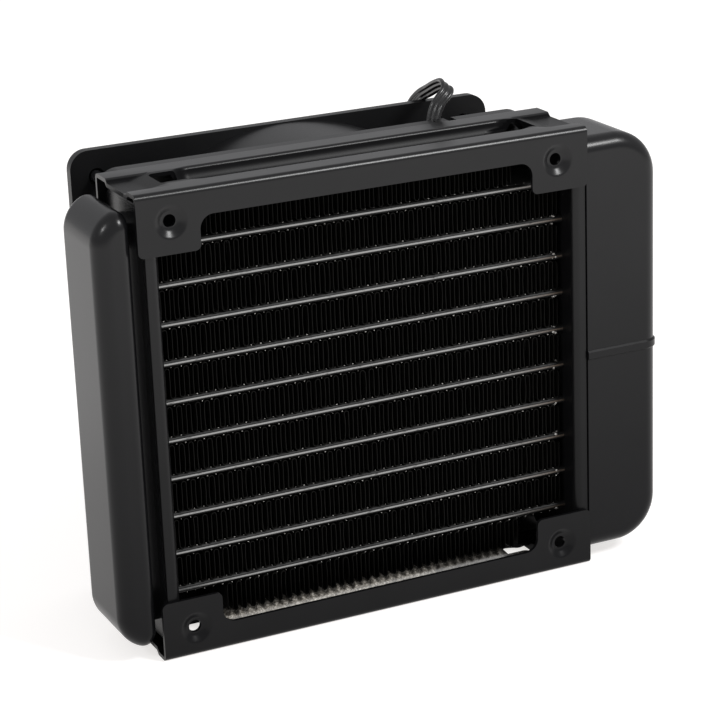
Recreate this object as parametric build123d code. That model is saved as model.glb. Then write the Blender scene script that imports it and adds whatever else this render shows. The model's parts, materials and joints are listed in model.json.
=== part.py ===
from build123d import *
import math
import os

# ---------------------------------------------------------------------------
# Liquid cooling radiator for one 120 mm fan, with the fan and its lead.
# The sub-parts are drawn in the core's own frame: X from the core's centre,
# Y from the front face backwards, Z up from the surface that it stands on.
# Each is moved by ORIGIN as it is written, to the bottom centre of the object.
# Millimetres.
# ---------------------------------------------------------------------------

# Framed core
FRAME_WIDTH = 122.5
FRAME_HEIGHT = 120.0
FRAME_DEPTH = 27.0
SHEET = 1.0
BEND_RADIUS = 1.5
MID_Z = FRAME_HEIGHT / 2
MID_Y = FRAME_DEPTH / 2
FLANGE_HEIGHT = 7.0
TAB_HEIGHT = 15.5
TAB_INNER_X = 45.2
HOLE_PITCH = 105.0
HOLE_RADIUS = 1.6
DISH_RADIUS = 4.1
DISH_DEPTH = 1.25
DISH_ROUND = 1.4

# Pressed groove, windows and joggles of the side channels
GROOVE_RADIUS = 6.05
GROOVE_DEPTH = 5.3
GROOVE_LEFT_X = -40.0
GROOVE_RIGHT_X = 45.0
GROOVE_ROUND = 1.1
JOGGLE_DEPTH = 1.0

# Headers and tanks
TANK_BOTTOM_Z = 3.4
TANK_TOP_Z = FRAME_HEIGHT - TANK_BOTTOM_Z
TANK_MARGIN_Y = 0.6
TANK_WALL = 1.2
CORE_SHIFT = 0.95
HEADER_CORE_X = 56.6
HEADER_SHEET = 1.0
HEADER_RIM_X = 60.28
HEADER_BEND = 2.0
HEADER_RIM_ROUND = 0.3
RIGHT_TANK_START_X = 61.28
RIGHT_TANK_END_X = 83.0
LEFT_TANK_START_X = 62.3
LEFT_TANK_WAIST = 4.0
LEFT_TANK_INNER_ROUND = 3.0
LEFT_TANK_END_X = 71.7
DIVIDER_Z = 58.5
DIVIDER_SHEET = 1.5
BEAD_PROUD = 0.5

# Coolant ports: G1/4, tapped in a bush on the back of the right tank
PORT_X = 71.2
PORT_Z = (36.0, 84.0)
PORT_RADIUS = 5.72
BUSH_RADIUS = 8.6
BUSH_LENGTH = 7.0
BUSH_PROUD = 3.0

# Tubes and fins
TUBE_COUNT = 10
TUBE_PITCH = 9.94
TUBE_THICKNESS = 2.0
TUBE_WALL = 0.3
CORE_DEPTH = 13.0
TUBE_END_X = 58.9
FIN_PITCH = 2.5
FIN_SHEET = 0.15
FIN_END_X = 56.1
SHORT_FIN_END_X = 43.0

# Fan
FAN_SIZE = 119.0
FAN_DEPTH = 26.8
FAN_FRONT_Y = FRAME_DEPTH
FAN_BACK_Y = FRAME_DEPTH + FAN_DEPTH
FAN_CORNER_RADIUS = 5.0
FAN_FLANGE = 4.0
REAR_FLANGE = 2.7
DUCT_RADIUS = 58.0
DUCT_WALL = 1.2
FAN_HOLE_RADIUS = 2.15
BASE_RADIUS = 22.0
HUB_RADIUS = 21.0
HUB_FRONT_Y = 33.6
HUB_BACK_Y = 50.4
BLADE_COUNT = 9
BLADE_TIP_RADIUS = 56.6
SHAFT_RADIUS = 1.5
BEARING_CLEARANCE = 0.04
BEARING_RADIUS = 3.5
BOSS_RADIUS = 5.0
STRUT_ANGLES = (60.0, 150.0, 240.0, 330.0)
STRUT_WIDTH = 4.0
LEAD_STRUT_WIDTH = 6.4
LEAD_Y = 30.4
LEAD_RADIUS = 1.6

# Fan screws
SCREW_RADIUS = 1.5
SCREW_LENGTH = 30.0
SCREW_HEAD_RADIUS = 2.9
SCREW_HEAD_HEIGHT = 2.4

# Lead outside the fan: three wires side by side, kept here as a round tube of the ribbon's width
CABLE_WIDTH = 3.6
CABLE_ROUTE = [
    (30.0, 30.4, 111.96),
    (31.3, 30.4, 114.21),
    (32.8, 32.9, 117.8),
    (34.3, 34.0, 122.7),
    (36.6, 35.2, 127.6),
    (38.9, 39.0, 129.6),
    (40.4, 44.6, 128.9),
    (40.8, 50.8, 126.8),
    (40.6, 56.8, 122.2),
    (40.0, 59.6, 115.4),
    (38.6, 59.6, 107.0),
    (36.8, 58.6, 96.5),
    (34.9, 57.7, 84.5),
    (33.8, 58.1, 71.5),
    (33.3, 57.6, 58.0),
    (33.6, 58.1, 44.5),
    (33.9, 58.3, 32.0),
    (33.6, 59.4, 22.5),
    (32.9, 62.2, 14.8),
    (31.2, 67.2, 9.2),
    (29.2, 74.0, 6.9),
    (28.0, 81.0, 6.4),
]
COIL_CENTRE = (8.0, 82.0)
COIL_RADIUS = 20.0
COIL_BOTTOM_Z = 0.8
COIL_HEIGHT = 7.4
COIL_WIDTH = 4.4
TAIL_START = (11.6, 102.5)
TAIL_END = (-5.0, 106.2)
CONNECTOR_SIZE = (14.0, 7.8, 5.8)

ORIGIN = Vector(
    (LEFT_TANK_END_X - RIGHT_TANK_END_X - BEAD_PROUD) / 2,
    -(FRAME_DEPTH + FAN_DEPTH + SCREW_HEAD_HEIGHT) / 2,
    0,
)
BACKWARDS = Rot(-90, 0, 0)
FROM_BASE = (Align.CENTER, Align.CENTER, Align.MIN)
HOLE_PLACES = [(x, z) for x in (-HOLE_PITCH / 2, HOLE_PITCH / 2) for z in (-HOLE_PITCH / 2, HOLE_PITCH / 2)]


def block(low, high):
    """Box between two opposite corners."""
    size = [b - a for a, b in zip(low, high)]
    middle = [(a + b) / 2 for a, b in zip(low, high)]
    return Pos(*middle) * Box(*size)


def rod(radius, start_y, end_y, x=0.0, z=MID_Z):
    """Cylinder along +Y."""
    return Pos(x, start_y, z) * BACKWARDS * Cylinder(radius, end_y - start_y, align=FROM_BASE)


def cone(start_radius, end_radius, start_y, end_y, x, z):
    """Cone along +Y."""
    shape = Cone(start_radius, end_radius, end_y - start_y, align=FROM_BASE)
    return Pos(x, start_y, z) * BACKWARDS * shape


def pipe(inner, outer, start_y, end_y):
    """Round ring about the fan's axis."""
    return rod(outer, start_y, end_y) - rod(inner, start_y - 1, end_y + 1)


# --- side channels ----------------------------------------------------------

def channel_section():
    """C section in the YZ plane, with both bends rounded."""
    outer = Pos(MID_Y, FRAME_HEIGHT - TAB_HEIGHT / 2) * Rectangle(FRAME_DEPTH, TAB_HEIGHT)
    outer = fillet(outer.vertices().group_by(Axis.Y)[-1], BEND_RADIUS)
    inner_z = FRAME_HEIGHT - SHEET - TAB_HEIGHT / 2
    inner = Pos(MID_Y, inner_z) * Rectangle(FRAME_DEPTH - 2 * SHEET, TAB_HEIGHT)
    inner = fillet(inner.vertices().group_by(Axis.Y)[-1], BEND_RADIUS - SHEET)
    return Plane.YZ * (outer - inner)


def flange_relief():
    """What is cut from both flanges between the corner tabs."""
    height = TAB_HEIGHT
    centre_z = FRAME_HEIGHT - FLANGE_HEIGHT - height / 2
    outline = Pos(0, centre_z) * Rectangle(2 * TAB_INNER_X, height)
    outline = fillet(outline.vertices().group_by(Axis.Y)[-1], 3.5)
    return extrude(Plane.XZ.offset(-MID_Y) * outline, amount=FRAME_DEPTH, both=True)


def capsule(radius):
    """Round bar along X with ball ends, the tool that presses the groove."""
    centre_z = FRAME_HEIGHT + GROOVE_RADIUS - GROOVE_DEPTH
    length = GROOVE_RIGHT_X - GROOVE_LEFT_X
    middle = Pos((GROOVE_LEFT_X + GROOVE_RIGHT_X) / 2, MID_Y, centre_z)
    bar = middle * Rot(0, 90, 0) * Cylinder(radius, length)
    for end_x in (GROOVE_LEFT_X, GROOVE_RIGHT_X):
        bar += Pos(end_x, MID_Y, centre_z) * Sphere(radius)
    return bar


def left_window():
    """Square window that opens beside the groove's left end."""
    outline = Pos(-47.4, 13.3) * RectangleRounded(7.4, 9.4, 1.0)
    return extrude(Plane.XY.offset(FRAME_HEIGHT - 8) * outline, amount=10)


def right_window():
    """Window across the groove, whose left edge leans as the sheet was drawn."""
    top = FRAME_HEIGHT + 1
    low = FRAME_HEIGHT - 8
    outline = Polyline((44.6, top), (37.4, low), (51.2, low), (51.2, top), close=True)
    return extrude(Plane.XZ.offset(-MID_Y) * make_face(outline), amount=5.2, both=True)


def joggle(side, drop, grow):
    """Wedge that steps the web down at one end, lower by drop and wider by grow."""
    top = FRAME_HEIGHT - drop
    upper = Pos(side * 57.0, 12.5) * Rectangle(14.0 + 2 * grow, 15.0 + 2 * grow)
    lower = Pos(side * 59.6, 12.5) * Rectangle(7.6 + 2 * grow, 12.6 + 2 * grow)
    planes = [Plane.XY.offset(top), Plane.XY.offset(top - JOGGLE_DEPTH)]
    return loft([planes[0] * upper, planes[1] * lower])


def dished_holes(channel, side_z):
    """Screw holes in the four tabs, each in a dish pressed inwards."""
    for x in (-HOLE_PITCH / 2, HOLE_PITCH / 2):
        back = FRAME_DEPTH
        z = MID_Z + side_z * HOLE_PITCH / 2
        behind = SHEET - 0.05
        channel += cone(DISH_RADIUS + 0.3, 2.9, behind, DISH_DEPTH + SHEET, x, z)
        channel += cone(2.9, DISH_RADIUS + 0.3, back - DISH_DEPTH - SHEET, back - behind, x, z)
        channel -= cone(DISH_RADIUS, 2.1, 0, DISH_DEPTH, x, z)
        channel -= cone(2.1, DISH_RADIUS, back - DISH_DEPTH, back, x, z)
        channel -= rod(HOLE_RADIUS, -1, back + 1, x, z)
    rims = [e for e in channel.edges().filter_by(GeomType.CIRCLE) if abs(e.radius - DISH_RADIUS) < 0.01]
    return fillet(rims, DISH_ROUND)


def side_channel():
    """Upper side channel, pressed from one sheet."""
    blank = extrude(channel_section(), amount=FRAME_WIDTH / 2, both=True) - flange_relief()
    tab_corners = blank.edges().filter_by(Axis.Y).group_by(Axis.Z)[0]
    blank = fillet(tab_corners, 1.5)
    room = block((-70, 3, FRAME_HEIGHT - 9), (70, FRAME_DEPTH - 3, FRAME_HEIGHT - SHEET / 2))
    blank += capsule(GROOVE_RADIUS + SHEET) & room
    blank -= capsule(GROOVE_RADIUS)
    lip = [e for e in blank.edges() if abs(e.center().Z - FRAME_HEIGHT) < 0.01]
    lip = [e for e in lip if abs(e.center().Y - MID_Y) < GROOVE_RADIUS + 0.1 and abs(e.center().X) < 54]
    blank = fillet(lip, GROOVE_ROUND)
    limits = block((-FRAME_WIDTH / 2, 0, 0), (FRAME_WIDTH / 2, FRAME_DEPTH, FRAME_HEIGHT + 2))
    for side in (-1, 1):
        blank += joggle(side, SHEET, 0.3) & limits
        blank -= joggle(side, -0.01, 0)
    blank = blank - left_window() - right_window()
    return dished_holes(blank, 1)


# --- core -------------------------------------------------------------------

def tube_heights():
    """Centre height of every tube, from the bottom up."""
    first = MID_Z - (TUBE_COUNT - 1) / 2 * TUBE_PITCH
    return [first + i * TUBE_PITCH for i in range(TUBE_COUNT)]


def tube_bar(depth, thickness, end_x):
    """Flat bar with round noses along X, centred at height zero."""
    outline = Plane.YZ * (Pos(MID_Y, 0) * SlotOverall(depth, thickness))
    return extrude(outline, amount=end_x, both=True)


def flat_tube():
    """Hollow flat tube, open at both ends."""
    bore = tube_bar(CORE_DEPTH - 2 * TUBE_WALL, TUBE_THICKNESS - 2 * TUBE_WALL, TUBE_END_X + 1)
    return tube_bar(CORE_DEPTH, TUBE_THICKNESS, TUBE_END_X) - bore


def fin_side(first_x, turns, low, high, side):
    """Edges of one face of the fin sheet; side is -1 or +1 of the sheet's middle."""
    half = FIN_SHEET / 2
    bend = FIN_PITCH / 4
    top = high - bend - half
    bottom = low + bend + half
    edges = []
    place = (first_x + side * half, bottom)
    for turn in range(turns):
        upwards = turn % 2 == 0
        level = top if upwards else bottom
        reach = bend - side * half if upwards else bend + side * half
        middle_x = first_x + (turn + 0.5) * FIN_PITCH / 2
        crown = level + reach if upwards else level - reach
        edges.append(Line(place, (place[0], level)))
        place = (2 * middle_x - place[0], level)
        edges.append(ThreePointArc(edges[-1] @ 1, (middle_x, crown), place))
    final = top if turns % 2 == 0 else bottom
    edges.append(Line(place, (place[0], final)))
    return edges


def fin_strip(end_x, low, high):
    """Corrugated strip between two heights: flat flanks joined by round loops."""
    turns = int(2 * end_x / (FIN_PITCH / 2))
    first_x = -turns * FIN_PITCH / 4
    left = fin_side(first_x, turns, low, high, -1)
    right = fin_side(first_x, turns, low, high, 1)
    caps = [Line(left[0] @ 0, right[0] @ 0), Line(left[-1] @ 1, right[-1] @ 1)]
    outline = make_face(Wire(left + right + caps))
    return extrude(Plane.XZ.offset(-MID_Y) * outline, amount=CORE_DEPTH / 2, both=True)


def header_plate(tubes):
    """Right-hand header: a tray with one slot for each tube, open towards the tank."""
    low = (HEADER_CORE_X, SHEET, TANK_BOTTOM_Z)
    high = (HEADER_RIM_X, FRAME_DEPTH - SHEET, TANK_TOP_Z)
    tray = block(low, high)
    tray = fillet(tray.edges().filter_by(Axis.X), 3.5)
    tray = fillet(tray.edges().group_by(Axis.X)[0], HEADER_BEND)
    tray = fillet(tray.edges().group_by(Axis.X)[-1], HEADER_RIM_ROUND)
    hollow_low = (HEADER_CORE_X + HEADER_SHEET, low[1] + HEADER_SHEET, low[2] + HEADER_SHEET)
    hollow_high = (HEADER_RIM_X + 1, high[1] - HEADER_SHEET, high[2] - HEADER_SHEET)
    hollow = block(hollow_low, hollow_high)
    hollow = fillet(hollow.edges().filter_by(Axis.X), 2.5)
    tray -= fillet(hollow.edges().group_by(Axis.X)[0], HEADER_BEND - HEADER_SHEET)
    for tube in tubes:
        tray -= tube
    return tray


# --- tanks ------------------------------------------------------------------

def tank_form(start_x, end_x, inset, corner, edge):
    """Closed rounded form of a right-hand tank, inset all round but at its open side."""
    low = TANK_BOTTOM_Z + inset
    high = TANK_TOP_Z - inset
    depth = FRAME_DEPTH - 2 * (TANK_MARGIN_Y + inset)
    width = end_x - inset - start_x
    outline = Pos(start_x + width / 2, (low + high) / 2) * Rectangle(width, high - low)
    outline = fillet(outline.vertices().group_by(Axis.X)[-1], min(corner, width - 0.5))
    form = extrude(Plane.XZ.offset(-MID_Y) * outline, amount=depth / 2, both=True)
    rims = form.edges().filter_by(lambda e: abs(e.center().Y - MID_Y) > depth / 2 - 0.01)
    rims = [e for e in rims if e.center().X > start_x + 0.01]
    return fillet(rims, edge)


def neck_block(start_x, end_x, inset):
    """Bar with round edges that fits the header's tray, or is smaller than it by the inset all round."""
    margin = SHEET + HEADER_SHEET + inset
    low_z = TANK_BOTTOM_Z + HEADER_SHEET + inset
    bar = block((start_x, margin, low_z), (end_x, FRAME_DEPTH - margin, FRAME_HEIGHT - low_z))
    return fillet(bar.edges().filter_by(Axis.X), 2.5)


def tank_shell(start_x, end_x, corner, edge, shift, waist=0.0, inner_round=0.0):
    """Deep-drawn shell with a plug that seats in the header's tray, and perhaps a waist beside it."""
    neck_x = HEADER_CORE_X + HEADER_SHEET + 1.6 + shift
    neck = neck_block(neck_x, HEADER_RIM_X + shift, 0) + neck_block(neck_x, start_x + 1, waist)
    bore = neck_block(neck_x - 1, start_x + TANK_WALL + 1, waist + TANK_WALL)
    outer = tank_form(start_x, end_x, 0, corner, edge)
    if inner_round:
        outer = fillet(outer.edges().group_by(Axis.X)[0], inner_round)
    inner = tank_form(start_x + TANK_WALL, end_x, TANK_WALL, corner - TANK_WALL, edge - TANK_WALL)
    return outer + neck - inner - bore


def divider_bead():
    """Raised bead round the right tank where the divider stands inside."""
    form = tank_form(RIGHT_TANK_START_X, RIGHT_TANK_END_X, -BEAD_PROUD, 12.5, 4.5)
    slab = block((60, -5, DIVIDER_Z - 1.3), (90, 40, DIVIDER_Z + 1.3))
    bead = form & slab
    long_edges = [e for e in bead.edges() if abs(e.center().X - RIGHT_TANK_START_X) > 0.01]
    level_edges = [e for e in long_edges if e.bounding_box().size.Z < 0.01]
    bead = chamfer(level_edges, 0.45)
    bead -= tank_form(RIGHT_TANK_START_X - 2, RIGHT_TANK_END_X, TANK_WALL / 2, 11.4, 3.4)
    return bead & block((RIGHT_TANK_START_X, -5, 0), (90, 40, FRAME_HEIGHT))


def right_tank():
    """Tank with the ports: shell, divider bead and the two bush holes in its back."""
    shell = tank_shell(RIGHT_TANK_START_X, RIGHT_TANK_END_X, 12.0, 4.0, CORE_SHIFT)
    shell += divider_bead()
    for z in PORT_Z:
        shell -= rod(BUSH_RADIUS - 1.2, MID_Y, FRAME_DEPTH + 5, PORT_X, z)
    return shell


def left_tank():
    """Return tank, round on every edge and set off its header by a narrow waist."""
    shell = tank_shell(LEFT_TANK_START_X, LEFT_TANK_END_X, 9.0, 4.3, -CORE_SHIFT,
                       LEFT_TANK_WAIST, LEFT_TANK_INNER_ROUND)
    return mirror(shell, Plane.YZ)


def tank_divider():
    """Plate that parts the right tank into its inlet and outlet halves."""
    low = (HEADER_CORE_X + HEADER_SHEET + 1.6 + CORE_SHIFT, 0, DIVIDER_Z - DIVIDER_SHEET / 2)
    high = (RIGHT_TANK_END_X, FRAME_DEPTH, DIVIDER_Z + DIVIDER_SHEET / 2)
    body = tank_form(RIGHT_TANK_START_X + TANK_WALL, RIGHT_TANK_END_X, TANK_WALL, 10.8, 2.8)
    margin = SHEET + HEADER_SHEET + TANK_WALL
    body += block((low[0], margin, 40), (RIGHT_TANK_START_X + 4, FRAME_DEPTH - margin, 80))
    return body & block(low, high)


def port_bush(z):
    """Tapped collar brazed in the back wall of the right tank."""
    back = FRAME_DEPTH - TANK_MARGIN_Y
    bush = rod(BUSH_RADIUS, back, back + BUSH_PROUD, PORT_X, z)
    bush = chamfer(bush.edges().group_by(Axis.Y)[-1], 0.6)
    bush += rod(BUSH_RADIUS - 1.2, back + BUSH_PROUD - BUSH_LENGTH, back + 0.5, PORT_X, z)
    return bush - rod(PORT_RADIUS, back - 10, back + 10, PORT_X, z)


# --- fan --------------------------------------------------------------------

def radial_block(angle, start, end, width, start_y, end_y):
    """Bar that runs outwards from the fan's axis at an angle from +X."""
    bar = block((start, start_y, -width / 2), (end, end_y, width / 2))
    return Pos(0, 0, MID_Z) * Rot(0, -angle, 0) * bar


def fan_plate(start_y, thickness):
    """Square flange with round corners."""
    outline = Pos(0, MID_Z) * RectangleRounded(FAN_SIZE, FAN_SIZE, FAN_CORNER_RADIUS)
    return extrude(Plane.XZ.offset(-start_y) * outline, amount=-thickness)


def motor_base():
    """Cup on the struts, with the boss that holds the bearing."""
    base = rod(BASE_RADIUS, FAN_FRONT_Y, FAN_FRONT_Y + 1.6)
    base += pipe(BASE_RADIUS - 1.4, BASE_RADIUS, FAN_FRONT_Y + 1.5, 32.5)
    base += rod(BOSS_RADIUS, FAN_FRONT_Y + 1.5, 45.0)
    base -= rod(BASE_RADIUS - 2.0, FAN_FRONT_Y - 1, FAN_FRONT_Y + 0.3)
    return base - rod(BEARING_RADIUS, FAN_FRONT_Y + 0.3 + 0.9, 46.0)


def lead_channel():
    """Room for the lead: an open groove in the widest strut, then a tunnel out through the duct."""
    width = 2 * LEAD_RADIUS + 0.2
    angle = STRUT_ANGLES[0]
    room = radial_block(angle, 19.0, DUCT_RADIUS - 0.5, width, FAN_FRONT_Y - 1, LEAD_Y + LEAD_RADIUS + 0.1)
    room += radial_block(angle, 19.0, DUCT_RADIUS + 3, width, LEAD_Y - LEAD_RADIUS - 0.1,
                         LEAD_Y + LEAD_RADIUS + 0.1)
    return room


def fan_flange(start_y, thickness):
    """Square end plate of the housing, bored for the duct and the four screws."""
    plate = fan_plate(start_y, thickness) - rod(DUCT_RADIUS + DUCT_WALL, start_y - 1, start_y + thickness + 1)
    for x, z in HOLE_PLACES:
        plate -= rod(FAN_HOLE_RADIUS, start_y - 1, start_y + thickness + 1, x, MID_Z + z)
    return plate


def fan_front_flange():
    """Front plate, with the way out for the lead and its notch in the top edge."""
    plate = fan_flange(FAN_FRONT_Y, FAN_FLANGE) - lead_channel()
    plate -= radial_block(STRUT_ANGLES[0] - 1.5, DUCT_RADIUS + DUCT_WALL - 0.5, 68.0, 7.0,
                          FAN_FRONT_Y + 1.2, FAN_FRONT_Y + FAN_FLANGE + 1)
    top = MID_Z + FAN_SIZE / 2
    return plate - block((36.2, FAN_FRONT_Y - 1, top - 1.9), (38.4, 31.5, top + 1))


def fan_duct():
    """Round wall between the plates, flared at its back."""
    wall = pipe(DUCT_RADIUS, DUCT_RADIUS + DUCT_WALL, FAN_FRONT_Y, FAN_BACK_Y)
    wall -= cone(DUCT_RADIUS - 0.5, DUCT_RADIUS + 0.9, FAN_BACK_Y - 2.0, FAN_BACK_Y + 0.01, 0, MID_Z)
    return wall - lead_channel()


def fan_motor_mount():
    """Motor base on its four struts, which end on the duct's bore."""
    mount = motor_base()
    for angle in STRUT_ANGLES[1:]:
        mount += radial_block(angle, BASE_RADIUS - 1, DUCT_RADIUS + 1, STRUT_WIDTH,
                              FAN_FRONT_Y, FAN_FRONT_Y + 4)
    mount += radial_block(STRUT_ANGLES[0], BASE_RADIUS - 1, DUCT_RADIUS + 1, LEAD_STRUT_WIDTH,
                          FAN_FRONT_Y, 33.0)
    return (mount & rod(DUCT_RADIUS, FAN_FRONT_Y, FAN_BACK_Y)) - lead_channel()


def blade_section(radius, chord, pitch):
    """Thin cambered section on the plane at one radius, pitched from the plane of rotation."""
    half = chord / 2
    back = Spline((-half, 0), (0, 0.13 * chord + 0.75), (half, 0))
    front = Spline((half, 0), (0, 0.13 * chord - 0.75), (-half, 0))
    face = make_face(back + front)
    middle_y = (HUB_FRONT_Y + HUB_BACK_Y) / 2 + 0.3
    plane = Plane(origin=(radius, middle_y, 0), x_dir=(0, 0, 1), z_dir=(1, 0, 0))
    return plane * Rot(0, 0, pitch) * face


def impeller():
    """Hub cup with its shaft boss and the ring of twisted blades."""
    hub = rod(HUB_RADIUS, HUB_FRONT_Y, HUB_BACK_Y)
    hub = fillet(hub.edges().group_by(Axis.Y)[-1], 1.2)
    hub -= rod(HUB_RADIUS - 1.2, HUB_FRONT_Y - 1, HUB_BACK_Y - 1.4)
    hub += rod(4.0, 46.6, HUB_BACK_Y - 1)
    hub -= rod(SHAFT_RADIUS, 40, HUB_BACK_Y - 1.0)
    sections = [
        blade_section(15.0, 17.0, 44.0),
        blade_section(28.0, 22.0, 38.0),
        blade_section(43.0, 27.5, 31.0),
        blade_section(58.5, 33.0, 25.0),
    ]
    limits = pipe(HUB_RADIUS - 0.6, BLADE_TIP_RADIUS, 34.6, HUB_BACK_Y - 0.4)
    blade = Pos(0, 0, MID_Z) * loft(sections) & limits
    for i in range(BLADE_COUNT):
        turn = Pos(0, 0, MID_Z) * Rot(0, i * 360 / BLADE_COUNT, 0) * Pos(0, 0, -MID_Z)
        hub += turn * blade
    return hub


def stator_core():
    """Laminated star with four curved shoes, on the bearing boss."""
    star = pipe(BOSS_RADIUS, 8.0, 37.0, 44.5)
    for i in range(4):
        star += radial_block(45 + 90 * i, 6.5, 15.0, 4.0, 37.0, 44.5)
    shoes = pipe(13.8, 16.2, 37.0, 44.5)
    for i in range(4):
        shoes -= radial_block(90 * i, 10, 20, 3.0, 36, 46)
    return star + shoes


def stator_coils():
    """One winding round each arm of the stator."""
    coils = []
    for i in range(4):
        outer = radial_block(45 + 90 * i, 8.6, 12.9, 8.4, 35.0, 46.2)
        coils.append(outer - radial_block(45 + 90 * i, 5, 17, 4.0, 37.0, 44.5))
    return Compound(children=coils)


def fan_screws():
    """Four long pan-head screws through the fan into the back flanges."""
    screws = []
    for x, z in HOLE_PLACES:
        head = rod(SCREW_HEAD_RADIUS, FAN_BACK_Y, FAN_BACK_Y + SCREW_HEAD_HEIGHT, x, MID_Z + z)
        head = fillet(head.edges().group_by(Axis.Y)[-1], 1.0)
        shank = rod(SCREW_RADIUS, FAN_BACK_Y - SCREW_LENGTH, FAN_BACK_Y + 0.1, x, MID_Z + z)
        screw = head + chamfer(shank.edges().group_by(Axis.Y)[0], 0.4)
        for turn in (0, 90):
            slot = Box(3.4, 2.6, 0.7)
            screw -= Pos(x, FAN_BACK_Y + SCREW_HEAD_HEIGHT, MID_Z + z) * Rot(0, turn, 0) * slot
        screws.append(screw)
    return Compound(children=screws)


def strut_lead():
    """Wires laid in the widest strut, from the motor base to the edge of the duct."""
    length = DUCT_RADIUS + DUCT_WALL + 0.8 - 18.0
    wire = Cylinder(LEAD_RADIUS, length, align=FROM_BASE)
    outwards = Pos(0, LEAD_Y, MID_Z) * Rot(0, 90 - STRUT_ANGLES[0], 0) * Pos(0, 0, 18.0)
    return outwards * wire


# --- lead outside the fan -----------------------------------------------------

def route_radii(points):
    """Largest arc that both runs of each corner allow: 0.45 of the shorter run."""
    radii = []
    for before, here, after in zip(points, points[1:], points[2:]):
        run_in = Vector(*here) - Vector(*before)
        run_out = Vector(*after) - Vector(*here)
        turn = math.radians(run_in.get_angle(run_out))
        shorter = min(run_in.length, run_out.length)
        radii.append(0.45 * shorter / math.tan(turn / 2))
    return radii


def fan_cable():
    """Free lead as far as its coil."""
    radii = route_radii(CABLE_ROUTE)
    path = FilletPolyline(*CABLE_ROUTE, radius=radii)
    start = Plane(origin=path @ 0, z_dir=path % 0)
    tube = sweep(start * Circle(CABLE_WIDTH / 2), path=path)
    expected = math.pi * CABLE_WIDTH ** 2 / 4 * path.length
    print("cable length", round(path.length, 1), "volume ratio", round(tube.volume / expected, 4))
    print("cable radii", [round(r, 1) for r in radii])
    return tube


def cable_coil():
    """Outer shape of the coil: two turns of the lead on each other."""
    x, y = COIL_CENTRE
    centre = Pos(x, y, COIL_BOTTOM_Z)
    ring = Cylinder(COIL_RADIUS + COIL_WIDTH / 2, COIL_HEIGHT, align=FROM_BASE)
    ring -= Cylinder(COIL_RADIUS - COIL_WIDTH / 2, 2 * COIL_HEIGHT)
    return centre * fillet(ring.edges(), 1.4)


def cable_tie():
    """Band round the coil's bundle."""
    x, y = COIL_CENTRE
    height = COIL_HEIGHT + 2 * COIL_BOTTOM_Z
    band = Box(COIL_WIDTH + 2.0, 2.6, height, align=FROM_BASE)
    band -= Pos(0, 0, COIL_BOTTOM_Z) * Box(COIL_WIDTH + 0.4, 4, COIL_HEIGHT, align=FROM_BASE)
    return Pos(x, y, 0) * Rot(0, 0, 200) * Pos(COIL_RADIUS, 0, 0) * band


def tail_place():
    """Where the lead ends, turned along its last stretch."""
    dx = TAIL_END[0] - TAIL_START[0]
    dy = TAIL_END[1] - TAIL_START[1]
    return math.hypot(dx, dy), math.degrees(math.atan2(dy, dx))


def cable_tail():
    """Short straight stretch between the coil and the connector."""
    length, heading = tail_place()
    wire = Rot(0, 90, 0) * Cylinder(CABLE_WIDTH / 2, length, align=FROM_BASE)
    return Pos(*TAIL_START, CONNECTOR_SIZE[2] / 2) * Rot(0, 0, heading) * wire


def cable_connector():
    """Three-way housing on the end of the lead, with its polarising ribs."""
    long, wide, high = CONNECTOR_SIZE
    body = block((0, -wide / 2, 0), (long, wide / 2, high))
    body = chamfer(body.edges().filter_by(Axis.X), 0.4)
    for y in (-2.2, 2.2):
        body += block((2.0, y - 0.5, high - 0.1), (long, y + 0.5, high + 0.8))
    for y in (-2.54, 0, 2.54):
        body -= block((long - 8, y - 0.6, high / 2 - 0.6), (long + 1, y + 0.6, high / 2 + 0.6))
    heading = tail_place()[1]
    return Pos(*TAIL_END, 0) * Rot(0, 0, heading) * body


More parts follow.
